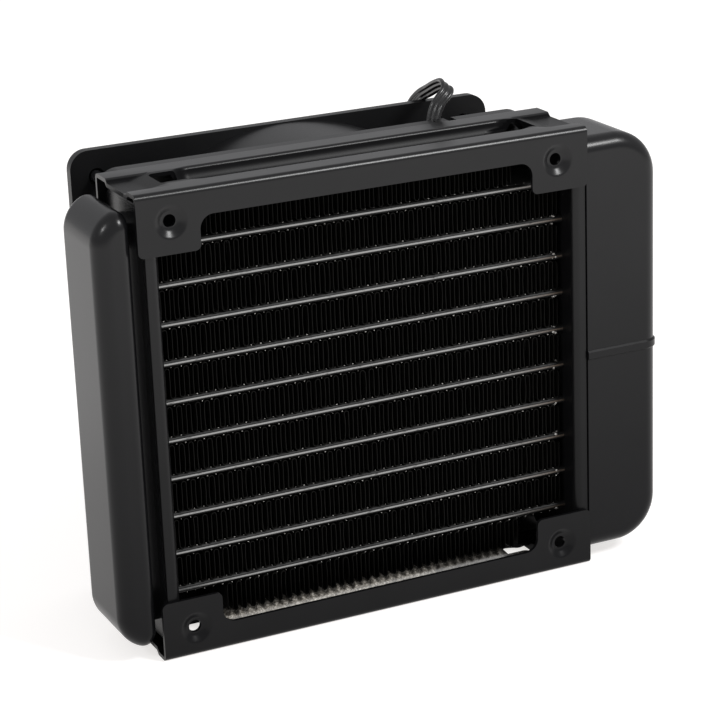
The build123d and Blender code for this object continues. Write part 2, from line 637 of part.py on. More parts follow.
def build():
    """Every sub-part by its name, in the core's frame."""
    heights = tube_heights()
    tube = flat_tube()
    solid_bar = tube_bar(CORE_DEPTH, TUBE_THICKNESS, TUBE_END_X)
    header = header_plate([Pos(0, 0, z) * solid_bar for z in heights])
    channel = side_channel()
    parts = {
        "top_side_channel": channel,
        "bottom_side_channel": mirror(channel, Plane.XY.offset(MID_Z)),
        "right_header_plate": Pos(CORE_SHIFT, 0, 0) * header,
        "left_header_plate": Pos(CORE_SHIFT, 0, 0) * mirror(header, Plane.YZ),
        "right_tank": right_tank(),
        "left_tank": left_tank(),
        "tank_divider": tank_divider(),
        "inlet_port_bush": port_bush(PORT_Z[0]),
        "outlet_port_bush": port_bush(PORT_Z[1]),
    }
    for i, z in enumerate(heights):
        parts[f"flat_tube_{i + 1:02d}"] = Pos(CORE_SHIFT, 0, z) * tube
    groove_floor = FRAME_HEIGHT - GROOVE_DEPTH - SHEET
    top_fin = Pos(CORE_SHIFT, 0, 0) * fin_strip(SHORT_FIN_END_X, heights[-1] + TUBE_THICKNESS / 2, groove_floor)
    parts["fin_strip_01"] = mirror(top_fin, Plane.XY.offset(MID_Z))
    row = fin_strip(FIN_END_X, TUBE_THICKNESS / 2, TUBE_PITCH - TUBE_THICKNESS / 2)
    for i, z in enumerate(heights[:-1]):
        parts[f"fin_strip_{i + 2:02d}"] = Pos(CORE_SHIFT, 0, z) * row
    parts[f"fin_strip_{TUBE_COUNT + 1:02d}"] = top_fin
    cap_front = FAN_FRONT_Y + 1.2
    parts.update({
        "fan_front_flange": fan_front_flange(),
        "fan_rear_flange": fan_flange(FAN_BACK_Y - REAR_FLANGE, REAR_FLANGE),
        "fan_duct": fan_duct(),
        "fan_motor_mount": fan_motor_mount(),
        "impeller": impeller(),
        "rotor_yoke": pipe(18.5, HUB_RADIUS - 1.2, 35.5, HUB_BACK_Y - 1.4),
        "magnet_ring": pipe(17.0, 18.5, 36.2, 47.6),
        "rotor_shaft": rod(SHAFT_RADIUS, cap_front + 1.4, HUB_BACK_Y - 1.0),
        "retaining_clip": pipe(SHAFT_RADIUS, 3.0, 45.4, 45.8),
        "shaft_bearing": pipe(SHAFT_RADIUS + BEARING_CLEARANCE, BEARING_RADIUS, cap_front + 1.2, 45.0),
        "bearing_cap": rod(BEARING_RADIUS, cap_front, cap_front + 1.2),
        "stator_core": stator_core(),
        "stator_coils": stator_coils(),
        "fan_circuit_board": pipe(BOSS_RADIUS, 17.0, FAN_FRONT_Y + 1.6, FAN_FRONT_Y + 2.8),
        "hub_disc": rod(BASE_RADIUS - 2.0, FAN_FRONT_Y, FAN_FRONT_Y + 0.3),
        "strut_lead": strut_lead(),
        "fan_screws": fan_screws(),
        "fan_cable": fan_cable(),
        "cable_coil": cable_coil(),
        "cable_tail": cable_tail(),
        "cable_tie": cable_tie(),
        "cable_connector": cable_connector(),
    })
    return parts


def main():
    os.makedirs("parts", exist_ok=True)
    for name, shape in build().items():
        export_step(Pos(*ORIGIN) * shape, f"parts/{name}.step")
        print(name, round(shape.volume, 1))


main()
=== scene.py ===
# %% [markdown]
# # A liquid cooling radiator with its fan
# The object is a flat-tube heat exchanger: ten flat tubes and eleven corrugated fin strips between two
# tanks, held by two pressed side channels, with a square fan screwed on behind. The metal frame comes from
# the imported model, so every size below is a real one. We start by loading it.

# %% Load the frame
import json
import math
import bmesh
import bpy
import numpy as np
from mathutils import Matrix, Vector


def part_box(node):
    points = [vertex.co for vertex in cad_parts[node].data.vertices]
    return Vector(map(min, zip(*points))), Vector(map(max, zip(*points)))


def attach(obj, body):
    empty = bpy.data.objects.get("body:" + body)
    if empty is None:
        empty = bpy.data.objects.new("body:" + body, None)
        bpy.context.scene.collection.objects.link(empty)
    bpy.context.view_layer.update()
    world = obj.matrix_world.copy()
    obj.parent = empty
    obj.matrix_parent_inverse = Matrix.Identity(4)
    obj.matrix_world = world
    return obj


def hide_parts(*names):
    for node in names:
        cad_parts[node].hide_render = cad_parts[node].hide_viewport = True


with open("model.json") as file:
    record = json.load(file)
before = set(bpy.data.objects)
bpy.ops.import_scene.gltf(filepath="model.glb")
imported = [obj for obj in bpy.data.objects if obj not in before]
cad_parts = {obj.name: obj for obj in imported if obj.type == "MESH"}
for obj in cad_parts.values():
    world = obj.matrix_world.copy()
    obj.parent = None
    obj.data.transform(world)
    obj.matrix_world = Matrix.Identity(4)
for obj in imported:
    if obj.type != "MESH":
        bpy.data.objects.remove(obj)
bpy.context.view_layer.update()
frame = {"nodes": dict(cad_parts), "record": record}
MM = 0.001
channel_low, channel_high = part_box("top_side_channel")
CORE_X = (channel_low.x + channel_high.x) / 2
CORE_Y = channel_low.y
CORE_TOP = channel_high.z
CORE_DEEP = channel_high.y - channel_low.y
print("nodes", len(frame["nodes"]), "core front at", round(CORE_Y, 5), "top", round(CORE_TOP, 5))

# %% [markdown]
# ## Camera
# The view is a long lens from the front left and a little above. The camera's three axes are written out as
# vectors, because a matrix of axes says exactly how the picture is turned, which angles in a row don't.

# %% Place the camera
LENS_MM = 124.85
SENSOR_MM = 36.0
CAMERA_PLACE = Vector((CORE_X - 0.25385, CORE_Y - 0.53421, 0.26918))
TO_RIGHT = Vector((0.90031, -0.43366, -0.03711)).normalized()
AHEAD = Vector((0.40024, 0.85839, -0.32094)).normalized()

scene = bpy.context.scene
camera_data = bpy.data.cameras.new("view_camera")
camera_data.lens = LENS_MM
camera_data.sensor_width = SENSOR_MM
camera_data.clip_start = 0.05
camera_data.clip_end = 20.0
camera = bpy.data.objects.new("view_camera", camera_data)
scene.collection.objects.link(camera)
turn = Matrix((TO_RIGHT, TO_RIGHT.cross(AHEAD), -AHEAD)).transposed().to_4x4()
camera.matrix_world = Matrix.Translation(CAMERA_PLACE) @ turn
scene.camera = camera
print("camera", [round(v, 4) for v in camera.location])

# %% [markdown]
# ## Small helpers for finishes
# A finish is a tree of shader nodes. A few helpers keep the trees short. One adds a node with its settings,
# and one makes a material with a Principled shader, whose constant numbers sit on the shader's own sockets.
# The rest each add one kind of step: a colour ramp, noise, arithmetic, a stretch, a blend or a bump.

# %% Node helpers
MIX_FACTOR, MIX_FIRST_COLOUR, MIX_SECOND_COLOUR = 0, 6, 7
MIX_RESULT_COLOUR = 2


def add_node(tree, kind, inputs=None, **settings):
    """Adds one shader node, sets its properties, then fills or links the named input sockets."""
    node = tree.nodes.new(kind)
    for name, value in settings.items():
        setattr(node, name, value)
    for name, value in (inputs or {}).items():
        if isinstance(value, bpy.types.NodeSocket):
            tree.links.new(value, node.inputs[name])
        else:
            node.inputs[name].default_value = value
    return node


def start_finish(name, **constants):
    """A new material: returns it, its tree, its shader and its Object coordinates."""
    finish = bpy.data.materials.new(name)
    finish.use_nodes = True
    tree = finish.node_tree
    shader = tree.nodes["Principled BSDF"]
    for socket, value in constants.items():
        shader.inputs[socket.replace("_", " ")].default_value = value
    coords = add_node(tree, "ShaderNodeTexCoord").outputs["Object"]
    return finish, tree, shader, coords


def ramp(tree, fac, stops):
    """Colour ramp through (position, grey or colour) stops."""
    node = add_node(tree, "ShaderNodeValToRGB", {"Fac": fac})
    elements = node.color_ramp.elements
    while len(elements) < len(stops):
        elements.new(0.5)
    for element, (position, colour) in zip(elements, stops):
        rgb = (colour,) * 3 if isinstance(colour, (int, float)) else colour
        element.position = position
        element.color = (*rgb, 1.0)
    return node.outputs["Color"]


def noise(tree, coords, scale, detail=4.0, roughness=0.55):
    """Fractal noise, scale in waves per metre."""
    settings = {"Vector": coords, "Scale": scale, "Detail": detail, "Roughness": roughness}
    return add_node(tree, "ShaderNodeTexNoise", settings).outputs["Fac"]


def math_node(tree, operation, first, second=0.0, clamp=False):
    """One arithmetic step on sockets or numbers."""
    node = add_node(tree, "ShaderNodeMath", operation=operation, use_clamp=clamp)
    for socket, value in zip(node.inputs, (first, second)):
        if isinstance(value, bpy.types.NodeSocket):
            tree.links.new(value, socket)
        else:
            socket.default_value = value
    return node.outputs[0]


def between(tree, value, low, high):
    """0 below low, 1 above high, and a straight run in between."""
    node = add_node(tree, "ShaderNodeMapRange", {"Value": value, "From Min": low, "From Max": high})
    return node.outputs["Result"]


def stretched(tree, coords, scale):
    """Coordinates scaled along each axis, so that a pattern on them is drawn out the other way."""
    return add_node(tree, "ShaderNodeMapping", {"Vector": coords, "Scale": scale}).outputs["Vector"]


def mix(tree, fac, first, second):
    """Blend of two colours, each a socket or three numbers, by a socket from 0 to 1."""
    node = add_node(tree, "ShaderNodeMix", data_type="RGBA")
    tree.links.new(fac, node.inputs[MIX_FACTOR])
    for index, value in ((MIX_FIRST_COLOUR, first), (MIX_SECOND_COLOUR, second)):
        if isinstance(value, bpy.types.NodeSocket):
            tree.links.new(value, node.inputs[index])
        else:
            node.inputs[index].default_value = (*value, 1.0)
    return node.outputs[MIX_RESULT_COLOUR]


def bump(tree, shader, height, distance, strength):
    """Bump from a height socket, distance in metres."""
    settings = {"Height": height, "Distance": distance, "Strength": strength}
    made = add_node(tree, "ShaderNodeBump", settings)
    tree.links.new(made.outputs["Normal"], shader.inputs["Normal"])


finishes = {}

# %% [markdown]
# ## Paint
# The sheet metal is dipped or sprayed in satin black. Real paint is never one grey: it has a fine orange
# peel, slow drifts in gloss, and a few specks of dust. Noise at three scales gives these, the smallest only
# as bump. The paint's reflection is painted stronger towards the top, a painted sheen that makes the top
# lighter and the bottom darker, and it is cut low in the trough of a groove as painted shade. Inside the
# channels the coat is thin, flux left from brazing shows as sandy speckle, and its pale, glinting tones are
# painted light reaching in from behind. There the mask is a position: deeper than the sheet's own thickness
# on the three sides of the channel, clear of the groove's sheet, and between the two windows. The speckle
# fades towards the right.

# %% Satin paint and its bare inside
GROOVE_RADIUS = 6.05 * MM
GROOVE_RISE = 0.75 * MM
# Painted shade and sheen: the paint's reflection strength in a groove's trough, then at the bottom and the
# top of the sheet, so the sheet reads lighter towards the top.
TROUGH_PAINTED_SHADE = 0.16
LOW_PAINTED_SHEEN, HIGH_PAINTED_SHEEN = 0.20, 0.52
DUST_COLOUR = (0.22, 0.21, 0.2)
# Painted light: the pale sand tones stand for light reaching into the channel from behind.
FLUX_AND_PAINTED_LIGHT_COLOURS = [(0.36, (0.04, 0.034, 0.028)), (0.5, (0.22, 0.20, 0.17)), (0.62, (0.62, 0.59, 0.53))]


def product(tree, *factors):
    """Several sockets or numbers multiplied together."""
    result = factors[0]
    for factor in factors[1:]:
        result = math_node(tree, "MULTIPLY", result, factor)
    return result


def add_dust(tree, coords, colour):
    """Pale specks: the hearts of a few Voronoi cells, picked by a slower noise."""
    cells = add_node(tree, "ShaderNodeTexVoronoi", {"Vector": coords, "Scale": 210.0, "Randomness": 1.0})
    speck = math_node(tree, "LESS_THAN", cells.outputs["Distance"], 0.032)
    lottery = math_node(tree, "GREATER_THAN", noise(tree, coords, 160.0, 1.0), 0.6)
    return mix(tree, product(tree, speck, lottery, 0.5), colour, DUST_COLOUR)


def groove_masks(tree, y, z):
    """Two masks from the distance to the axes of the two round grooves, both 1 away from them.

    The first is 0 at the grooves' sheet. The second is low in their troughs, as painted shade.
    """
    across = math_node(tree, "SUBTRACT", y, CORE_Y + CORE_DEEP / 2)
    clear, painted_reflection = [], []
    for height_off in (math_node(tree, "SUBTRACT", z, CORE_TOP + GROOVE_RISE),
                       math_node(tree, "ADD", z, GROOVE_RISE)):
        square = math_node(tree, "ADD", product(tree, across, across), product(tree, height_off, height_off))
        far_off = math_node(tree, "SQRT", square)
        clear.append(between(tree, far_off, GROOVE_RADIUS + 0.45 * MM, GROOVE_RADIUS + 0.7 * MM))
        outside = between(tree, far_off, GROOVE_RADIUS, GROOVE_RADIUS + 0.12 * MM)
        painted_reflection.append(math_node(tree, "MAXIMUM", outside, TROUGH_PAINTED_SHADE))
    return product(tree, *clear), product(tree, *painted_reflection)


def channel_inside(tree, x, y, z):
    """1 inside a side channel, on its flanges and web between the windows, and less to the right."""
    channel_back = CORE_Y + CORE_DEEP
    behind_front = between(tree, y, CORE_Y + 1.05 * MM, CORE_Y + 1.5 * MM)
    before_back = between(tree, y, channel_back - 1.05 * MM, channel_back - 1.5 * MM)
    above = between(tree, z, 0.95 * MM, 1.2 * MM)
    below = between(tree, z, CORE_TOP - 0.95 * MM, CORE_TOP - 1.2 * MM)
    from_middle = math_node(tree, "ABSOLUTE", math_node(tree, "SUBTRACT", x, CORE_X))
    between_windows = between(tree, from_middle, 46.5 * MM, 44.5 * MM)
    fade = math_node(tree, "MAXIMUM", between(tree, x, CORE_X + 34 * MM, CORE_X + 6 * MM), 0.25)
    return product(tree, behind_front, before_back, above, below, between_windows, fade)


def add_flux_and_painted_light(tree, coords, inside, colour):
    """Sandy flux over the given mask, in blotches; its pale tones are painted light reaching in from behind.
    """
    sand = noise(tree, coords, 1500.0, 6.0, 0.8)
    blotch = noise(tree, coords, 260.0, 3.0)
    shown = product(tree, inside, between(tree, blotch, 0.30, 0.46))
    return mix(tree, shown, colour, ramp(tree, sand, FLUX_AND_PAINTED_LIGHT_COLOURS))


def paint(name, dark, gloss, speckled=False):
    """Black paint with orange peel, gloss drift, dust and a painted sheen rising with height; speckled adds
    the bare inside of a channel, with painted light on its flux, and painted shade in the groove troughs.
    """
    finish, tree, shader, coords = start_finish(name, IOR=1.36)
    slow = noise(tree, coords, 38.0, 3.0)
    shades = [(0.3, tuple(c * 0.82 for c in dark)), (0.7, tuple(c * 1.2 for c in dark))]
    colour = add_dust(tree, coords, ramp(tree, slow, shades))
    rough = product(tree, between(tree, noise(tree, coords, 900.0, 3.0), -1.2, 2.0), 0.05)
    rough = math_node(tree, "ADD", rough, gloss)
    peel = product(tree, noise(tree, coords, 1300.0, 2.0), 0.7)
    height = math_node(tree, "ADD", peel, noise(tree, coords, 6500.0, 2.0))
    place = add_node(tree, "ShaderNodeSeparateXYZ", {"Vector": coords})
    x, y, z = (place.outputs[axis] for axis in "XYZ")
    # Painted sheen: the reflection strength rises with height.
    heights = {"Value": z, "From Max": CORE_TOP, "To Min": LOW_PAINTED_SHEEN, "To Max": HIGH_PAINTED_SHEEN}
    painted_reflection = add_node(tree, "ShaderNodeMapRange", heights).outputs["Result"]
    if speckled:
        # Painted shade: the reflection is cut low in the troughs of the grooves.
        clear, trough_painted_shade = groove_masks(tree, y, z)
        painted_reflection = product(tree, painted_reflection, trough_painted_shade)
        # Flux speckle inside the channels, its pale tones painted light.
        colour = add_flux_and_painted_light(tree, coords, product(tree, channel_inside(tree, x, y, z), clear), colour)
    tree.links.new(painted_reflection, shader.inputs["Specular IOR Level"])
    tree.links.new(colour, shader.inputs["Base Color"])
    tree.links.new(rough, shader.inputs["Roughness"])
    bump(tree, shader, height, 0.0000035, 0.35)
    finishes[name] = finish


paint("sheet_paint", (0.0040, 0.0040, 0.0044), 0.26, speckled=True)
paint("tank_paint", (0.0038, 0.0038, 0.0043), 0.24)
paint("header_paint", (0.0036, 0.0036, 0.0039), 0.27)
paint("screw_zinc", (0.010, 0.010, 0.011), 0.24)
print("paints", sorted(finishes))

# %% [markdown]
# ## Tubes and fins
# The flat tubes are aluminium under a thin coat. A painted highlight, bright metal colour, runs along their
# noses, so the mask is how far a point lies from the front or back of the tube. Towards the right end the
# painted highlight browns and fades. The fins are coated in a duller black with upright streaks, from the way
# the strip is rolled.

# %% Tube and fin finishes
TUBES = [f"flat_tube_{number:02d}" for number in range(1, 11)]
# Depths behind the nose where the painted highlight is full and where the coat starts.
HIGHLIGHT_FULL_ENDS = 0.012 * MM
COAT_STARTS = 0.034 * MM
tube_low, tube_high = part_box(TUBES[0])


def tube_finish():
    """Thin black coat, with a painted highlight of bright metal colour along the nose of the tube."""
    finish, tree, shader, coords = start_finish("tube_coat_painted_highlight", IOR=1.28)
    place = add_node(tree, "ShaderNodeSeparateXYZ", {"Vector": coords})
    x, y = place.outputs["X"], place.outputs["Y"]
    surface_noise = noise(tree, stretched(tree, coords, (0.25, 1.0, 1.0)), 1500.0, 4.0, 0.65)
    # Painted highlight: a thin line of bright metal colour along the front and back noses.
    nose = between(tree, y, tube_low.y + COAT_STARTS, tube_low.y + HIGHLIGHT_FULL_ENDS)
    tail = between(tree, y, tube_high.y - COAT_STARTS, tube_high.y - HIGHLIGHT_FULL_ENDS)
    highlight_line = math_node(tree, "MAXIMUM", nose, tail)
    highlight_line = math_node(tree, "MULTIPLY", highlight_line, between(tree, surface_noise, 0.24, 0.42), clamp=True)
    # The painted highlight browns and fades towards the right.
    far = between(tree, x, CORE_X + 38 * MM, CORE_X + 56 * MM)
    highlight_colour = mix(tree, far, (0.29, 0.29, 0.285), (0.09, 0.07, 0.055))
    colour = mix(tree, highlight_line, (0.0035, 0.0034, 0.0032), highlight_colour)
    tree.links.new(colour, shader.inputs["Base Color"])
    tree.links.new(math_node(tree, "MULTIPLY", highlight_line, 0.75), shader.inputs["Metallic"])
    tree.links.new(between(tree, surface_noise, -0.8, 1.9), shader.inputs["Roughness"])
    bump(tree, shader, surface_noise, 0.00004, 0.6)
    finishes["tube_coat_painted_highlight"] = finish


def fin_finish():
    """Dull black coat with upright streaks."""
    finish, tree, shader, coords = start_finish("fin_coat", IOR=1.2)
    streak = noise(tree, stretched(tree, coords, (1.0, 1.0, 0.12)), 2600.0, 4.0)
    colour = ramp(tree, streak, [(0.35, (0.0014, 0.0013, 0.0011)), (0.8, (0.0058, 0.0055, 0.0047))])
    tree.links.new(colour, shader.inputs["Base Color"])
    tree.links.new(between(tree, streak, -1.2, 1.8), shader.inputs["Roughness"])
    bump(tree, shader, streak, 0.00002, 0.4)
    finishes["fin_coat"] = finish


def solder_finish():
    """Grey brazing metal, dull and mottled."""
    finish, tree, shader, coords = start_finish("braze", Metallic=0.85)
    mottle = noise(tree, coords, 2400.0, 4.0)
    colour = ramp(tree, mottle, [(0.3, (0.12, 0.105, 0.09)), (0.7, (0.55, 0.54, 0.52))])
    tree.links.new(colour, shader.inputs["Base Color"])
    tree.links.new(between(tree, mottle, -0.6, 1.6), shader.inputs["Roughness"])
    bump(tree, shader, mottle, 0.00004, 0.6)
    finishes["braze"] = finish


tube_finish()
fin_finish()
solder_finish()

# %% [markdown]
# ## Plastics and bare metals
# The fan is moulded in black plastic with a fine spark-eroded grain; its blades are smoother. The bare
# metals are turned or rolled, so their noise is stretched one way. One recipe with different numbers makes
# them all.

# %% Plastics and metals
def grained(name, dark, light, scale, low_rough, high_rough, depth, stretch=(1, 1, 1), **constants):
    """A surface whose colour, gloss and bump all follow one noise, stretched where a tool ran along it."""
    finish, tree, shader, coords = start_finish(name, **constants)
    fine = noise(tree, stretched(tree, coords, stretch), scale, 5.0, 0.6)
    slow = noise(tree, coords, scale / 60.0, 2.0)
    both = math_node(tree, "MULTIPLY", math_node(tree, "ADD", fine, slow), 0.5)
    tree.links.new(ramp(tree, both, [(0.34, dark), (0.66, light)]), shader.inputs["Base Color"])
    spread = math_node(tree, "MULTIPLY", fine, high_rough - low_rough)
    tree.links.new(math_node(tree, "ADD", spread, low_rough), shader.inputs["Roughness"])
    bump(tree, shader, fine, depth, 0.6)
    finishes[name] = finish


grained("fan_plastic", (0.0022, 0.0022, 0.0025), (0.0045, 0.0045, 0.005), 4200.0, 0.3, 0.5, 0.00001, IOR=1.38)
grained("blade_plastic", (0.005, 0.005, 0.0055), (0.010, 0.010, 0.011), 2600.0, 0.26, 0.40, 0.000006)
grained("lead_sleeve", (0.006, 0.006, 0.006), (0.014, 0.014, 0.0145), 1400.0, 0.16, 0.34, 0.00001, IOR=1.5)
grained("nylon", (0.012, 0.012, 0.0125), (0.024, 0.024, 0.025), 2400.0, 0.34, 0.55, 0.00002)
grained("steel", (0.36, 0.36, 0.37), (0.62, 0.62, 0.63), 3000.0, 0.2, 0.44, 0.00001, (1, 0.1, 1),
        Metallic=1.0)
grained("brass", (0.48, 0.33, 0.12), (0.78, 0.60, 0.28), 3600.0, 0.18, 0.4, 0.00001, (1, 6, 1), Metallic=1.0)
grained("magnet", (0.03, 0.028, 0.026), (0.075, 0.07, 0.065), 2600.0, 0.5, 0.75, 0.00003)
grained("copper", (0.42, 0.15, 0.05), (0.72, 0.32, 0.14), 5200.0, 0.22, 0.4, 0.00003, (1, 1, 0.1),
        Metallic=0.9)
grained("solder_mask", (0.008, 0.06, 0.025), (0.02, 0.14, 0.06), 900.0, 0.22, 0.4, 0.00002)
grained("foil", (0.05, 0.05, 0.055), (0.12, 0.12, 0.13), 1500.0, 0.3, 0.48, 0.00001, (8, 1, 1), Metallic=0.4)
print("finishes", len(finishes))

# %% [markdown]
# ## Carrying CAD shapes over
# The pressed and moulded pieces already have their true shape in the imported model, but as loose triangles,
# which shade like a cut gem. We copy such a mesh, merge its doubled corners, and let the faces share their
# normals where they meet at a gentle angle. Weighting the normals by area keeps the broad flat faces truly
# flat.

# %% Smooth copies
BODY_OF = {name: body for body, names in frame["record"]["behaviour"]["bodies"].items() for name in names}


def dress(obj, finish, body, nodes):
    """Gives a piece its finish, its body, the nodes that it stands for, if any."""
    obj.data.materials.clear()
    obj.data.materials.append(finishes[finish])
    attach(obj, body)
    if nodes:
        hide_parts(*nodes)
    return obj


def weight_normals(obj):
    """Lets big faces keep their own direction where they meet a bend."""
    modifier = obj.modifiers.new("flat_faces", "WEIGHTED_NORMAL")
    modifier.keep_sharp = True
    modifier.weight = 80


def smooth_copy(node, finish, sharp_degrees=42.0):
    """Merged copy of a CAD node, smooth but for edges sharper than the given angle."""
    work = bmesh.new()
    work.from_mesh(frame["nodes"][node].data)
    bmesh.ops.remove_doubles(work, verts=work.verts, dist=1e-6)
    bmesh.ops.dissolve_degenerate(work, dist=1e-7, edges=work.edges)
    limit = math.radians(sharp_degrees)
    for face in work.faces:
        face.smooth = True
    for edge in work.edges:
        edge.smooth = len(edge.link_faces) == 2 and edge.calc_face_angle(0.0) < limit
    mesh = bpy.data.meshes.new(node + "_smooth")
    work.to_mesh(mesh)
    work.free()
    obj = bpy.data.objects.new(node + "_smooth", mesh)
    scene.collection.objects.link(obj)
    weight_normals(obj)
    return dress(obj, finish, BODY_OF[node], [node])


CARRIED = {
    "top_side_channel": "sheet_paint", "bottom_side_channel": "sheet_paint",
    "left_header_plate": "header_paint", "right_header_plate": "header_paint",
    "left_tank": "tank_paint", "right_tank": "tank_paint", "tank_divider": "steel",
    "fan_front_flange": "fan_plastic", "fan_rear_flange": "fan_plastic",
    "fan_duct": "fan_plastic", "fan_motor_mount": "fan_plastic",
    "impeller": "blade_plastic", "rotor_yoke": "steel",
    "magnet_ring": "magnet", "rotor_shaft": "steel", "retaining_clip": "steel",
    "shaft_bearing": "brass", "bearing_cap": "fan_plastic", "stator_core": "steel",
    "stator_coils": "copper", "fan_circuit_board": "solder_mask", "hub_disc": "foil",
    "strut_lead": "lead_sleeve", "fan_screws": "screw_zinc",
    "cable_tie": "nylon", "cable_connector": "nylon",
    **{node: "tube_coat_painted_highlight" for node in TUBES},
}
carried = {node: smooth_copy(node, finish) for node, finish in CARRIED.items()}
print("carried over", len(carried), "faces", sum(len(o.data.polygons) for o in carried.values()))

# %% [markdown]
# ## Surfaces from numbers
# Most new pieces are a grid: a shape given by two parameters, whose rows and columns are joined into faces.
# Where a direction closes on itself, the last column is joined to the first. Whole arrays of points are
# worked out at once, which is quicker than a loop and reads like the formula.

# %% Grid helper
CREASE = math.radians(40)


def grid_faces(rows, columns, close_rows=False, close_columns=False):
    """Quads between neighbours of a rows by columns grid, wrapping where a direction is closed."""
    last_row = rows if close_rows else rows - 1
    last_column = columns if close_columns else columns - 1
    r, c = np.meshgrid(np.arange(last_row), np.arange(last_column), indexing="ij")
    below, beside = (r + 1) % rows, (c + 1) % columns
    quads = (r * columns + c, r * columns + beside, below * columns + beside, below * columns + c)
    return np.stack([q.ravel() for q in quads], 1)


def make_piece(name, points, faces):
    """A mesh object from point and face arrays, in metres, with its faces turned outwards."""
    mesh = bpy.data.meshes.new(name)
    mesh.from_pydata(np.asarray(points, float).reshape(-1, 3).tolist(), [], np.asarray(faces).tolist())
    mesh.update()
    work = bmesh.new()
    work.from_mesh(mesh)
    bmesh.ops.remove_doubles(work, verts=work.verts, dist=1e-8)
    bmesh.ops.recalc_face_normals(work, faces=work.faces)
    for face in work.faces:
        face.smooth = True
    for edge in work.edges:
        edge.smooth = len(edge.link_faces) == 2 and edge.calc_face_angle(0.0) < CREASE
    work.to_mesh(mesh)
    work.free()
    obj = bpy.data.objects.new(name, mesh)
    scene.collection.objects.link(obj)
    return obj


# %% [markdown]
# ## Fin strips
# A fin strip is thin sheet folded to and fro by a pair of toothed rollers: an upright flank, a round loop
# against the tube, the next flank. The flanks are cut into louvres, which turn air across the sheet. The
# strip is a path in the front plane carried backwards through the depth. The louvres shift the sheet
# sideways in a saw-tooth of depth, but only on the middle of each flank, and each flank leans a hair, as
# rolled fins do.

# %% Fin strips
FIN_PITCH = 2.5 * MM
FIN_SHEET = 0.15 * MM
LOOP_POINTS = 5
FLANK_POINTS = 5
DEPTH_POINTS = 25
LOUVRES = 8
LOUVRE_SHIFT = 0.34 * MM
FLANK_LEAN = 0.07 * MM
rng = np.random.default_rng(29)


def fin_path(low, high, flanks, first_x):
    """Centre line of the folded sheet: x and z of each point, and how louvred it is, from 0 to 1."""
    bend = FIN_PITCH / 4
    height = high - low - FIN_SHEET - 2 * bend
    along = np.linspace(0.0, 1.0, FLANK_POINTS)
    angle = np.linspace(0.0, math.pi, LOOP_POINTS + 2)[1:-1]
    up = np.arange(flanks) % 2 == 0
    base = first_x + np.arange(flanks) * FIN_PITCH / 2
    bottom = low + FIN_SHEET / 2 + bend
    rise = np.where(up[:, None], along, 1 - along)
    lean = rng.normal(0.0, FLANK_LEAN, flanks + 1)
    flank_x = base[:, None] + lean[:-1, None] * np.sin(math.pi * along) + lean[:-1, None] * 0.6
    flank_z = bottom + rise * height
    loop_x = base[:, None] + bend * (1 - np.cos(angle)) + (lean[:-1, None] + lean[1:, None]) * 0.3
    side = np.where(up, 1.0, -1.0)[:, None]
    loop_z = np.where(up[:, None], bottom + height, bottom) + side * bend * np.sin(angle)
    cut = np.where((along > 0.2) & (along < 0.8), 1.0, 0.0)
    x = np.concatenate([flank_x, loop_x], 1).ravel()[:-LOOP_POINTS]
    z = np.concatenate([flank_z, loop_z], 1).ravel()[:-LOOP_POINTS]
    louvred = np.concatenate([np.tile(cut, (flanks, 1)), np.zeros((flanks, LOOP_POINTS))], 1)
    return x, z, louvred.ravel()[:-LOOP_POINTS]


def fin_mesh(node):
    """The folded sheet as a closed skin: out along one face, back along the other."""
    low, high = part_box(node)
    flanks = int(round((high.x - low.x) / (FIN_PITCH / 2)))
    first_x = (low.x + high.x) / 2 - (flanks - 1) * FIN_PITCH / 4
    x, z, louvred = fin_path(low.z, high.z, flanks, first_x)
    step_x, step_z = np.gradient(x), np.gradient(z)
    length = np.hypot(step_x, step_z)
    out_x, out_z = step_z / length, -step_x / length
    depth = np.linspace(0.0, 1.0, DEPTH_POINTS)
    saw = (depth * LOUVRES) % 1.0 - 0.5
    saw[(depth < 0.06) | (depth > 0.94)] = 0.0
    slide = louvred[None, :] * saw[:, None] * LOUVRE_SHIFT
    y = (low.y + (high.y - low.y) * depth)[:, None] + 0 * x[None, :]
    near, far = (np.stack([x + out_x * half + slide, y, z + out_z * half + 0 * slide], 2)
                 for half in (FIN_SHEET / 2, -FIN_SHEET / 2))
    ring = np.concatenate([near, far[:, ::-1]], 1)
    columns = ring.shape[1]
    quads = grid_faces(DEPTH_POINTS, columns, close_columns=True)
    half_columns = columns // 2
    i = np.arange(half_columns - 1)
    front = np.stack([i, i + 1, columns - 2 - i, columns - 1 - i], 1)
    back = front + (DEPTH_POINTS - 1) * columns
    return ring, np.concatenate([quads, front, back])


fin_total = 0
for number in range(1, 12):
    node = f"fin_strip_{number:02d}"
    points, quads = fin_mesh(node)
    strip = make_piece(node + "_folded", points, quads)
    dress(strip, "fin_coat", "radiator", [node])
    fin_total += len(strip.data.polygons)
print("fin faces", fin_total)

# %% [markdown]
# ## Brazing
# Each loop of a fin is brazed to the tube that it touches, and a speck of filler shows there at the front,
# one every pitch. Lumps of the same metal sit where a tube enters its header. Hundreds of specks share one
# small ball of a few dozen faces, squashed and placed by adding arrays.

# %% Brazing specks
SPECK_OFFSET = 0.06 * MM
SPECKS_KEPT = 0.86
LUMPS_PER_END = 7


def small_ball(rings=4, around=7):
    """Unit ball: latitude from pole to pole by longitude, with both poles closed to a point."""
    theta = np.linspace(0.0, math.pi, rings + 1)[:, None]
    phi = np.linspace(0.0, 2 * math.pi, around, endpoint=False)[None, :]
    points = np.stack([np.sin(theta) * np.cos(phi), np.sin(theta) * np.sin(phi), np.cos(theta) + 0 * phi], 2)
    return points.reshape(-1, 3), grid_faces(rings + 1, around, close_columns=True)


